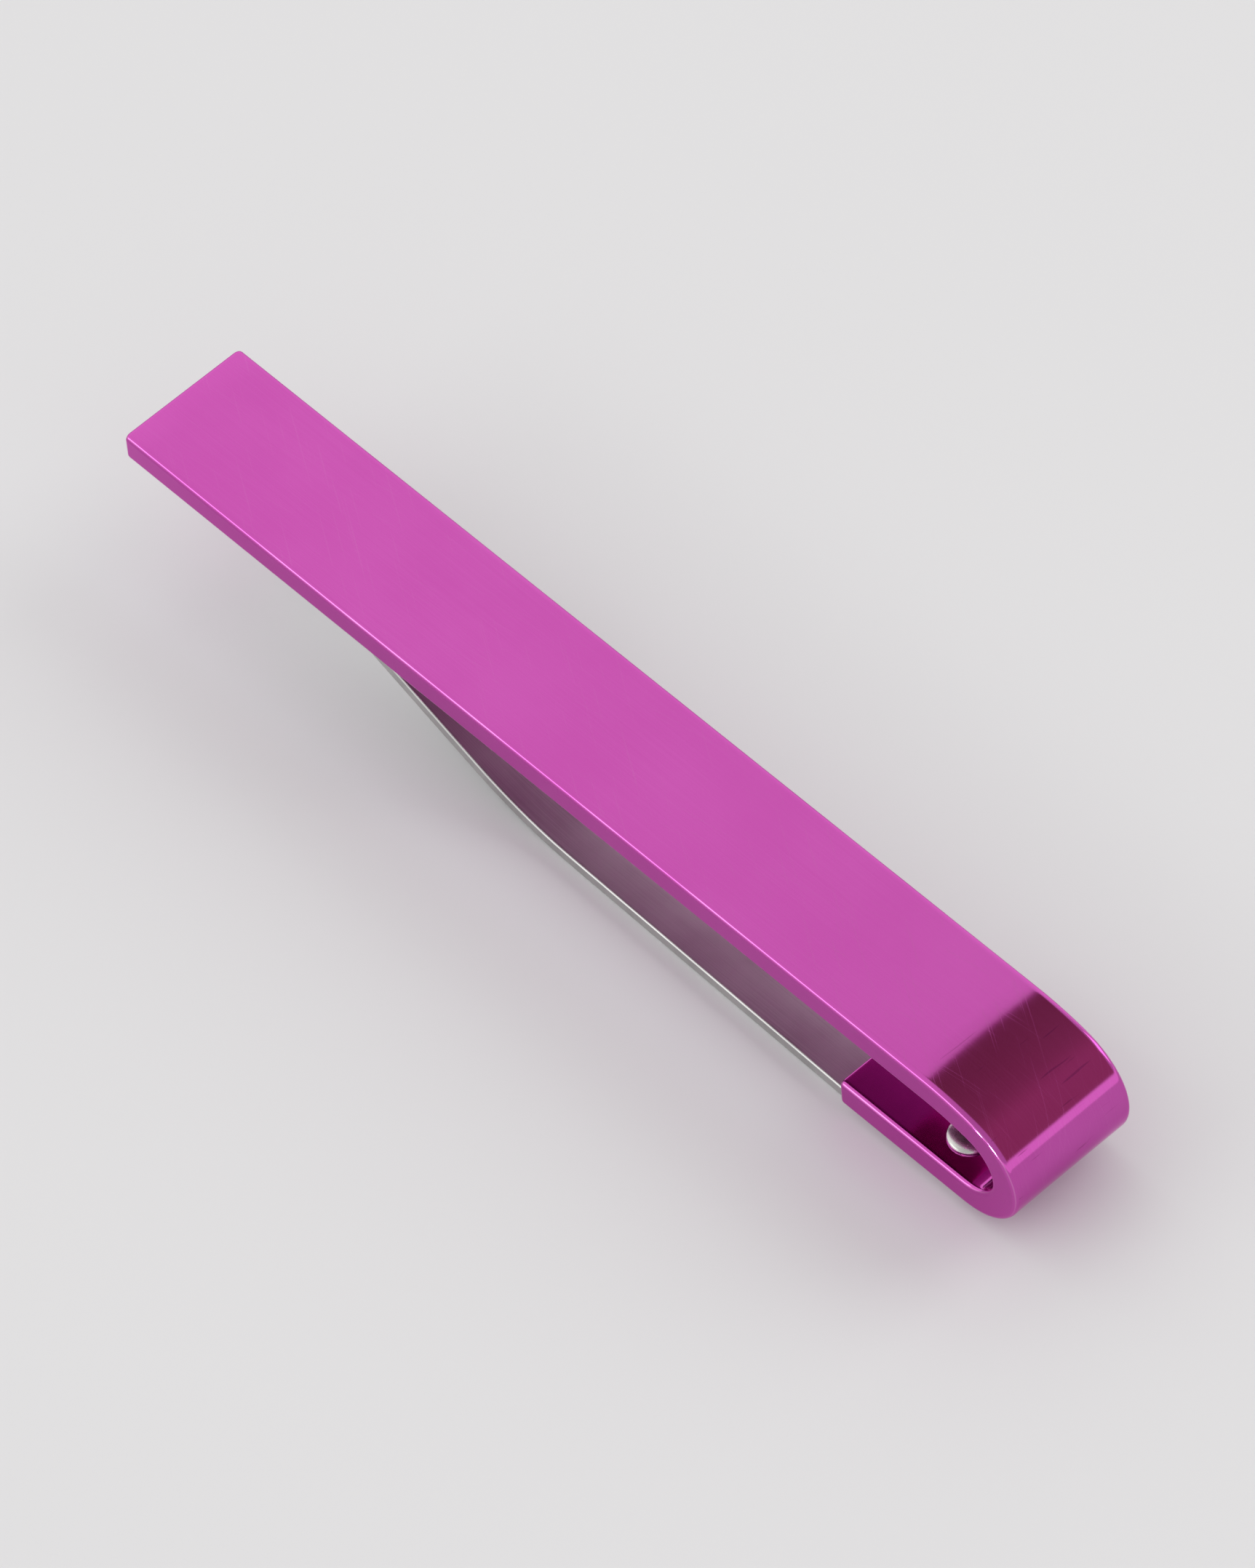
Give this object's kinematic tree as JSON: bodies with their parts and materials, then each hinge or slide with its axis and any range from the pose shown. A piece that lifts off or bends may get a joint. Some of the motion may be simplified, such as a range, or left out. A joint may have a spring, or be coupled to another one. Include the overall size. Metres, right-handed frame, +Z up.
{
  "type": "tie clip",
  "caption": "Slim slide-on tie clip: a flat mirror-bright magenta bar folded round at one end, with a riveted spring leg behind it that grips the cloth.",
  "frame": {"origin": "on the resting plane, under the middle of the clip's length and width", "axes": "+X along the bar towards the bend, +Y across the bar, +Z up out of the bar's face"},
  "size_m": [0.044, 0.0054, 0.0058],
  "materials": {
    "anodised_bar": "mirror polished and dyed magenta",
    "spring_steel": "satin rolled strip",
    "rivet_steel": "bright"
  },
  "bodies": {
    "leg": {"spring_leg": "spring_steel"},
    "bar": {"folded_bar": "anodised_bar", "leg_foot": "spring_steel", "rivet_left": "rivet_steel", "rivet_right": "rivet_steel"}
  },
  "joints": [
    {"name": "clip_open", "type": "hinge", "parent": "leg", "child": "bar", "pos_m": [0.01685, 0, 0.00025], "axis": [0, 1, 0], "range_deg": [0, 8], "stiffness_Nm_per_rad": 0.8, "springref_deg": -1.72}
  ]
}
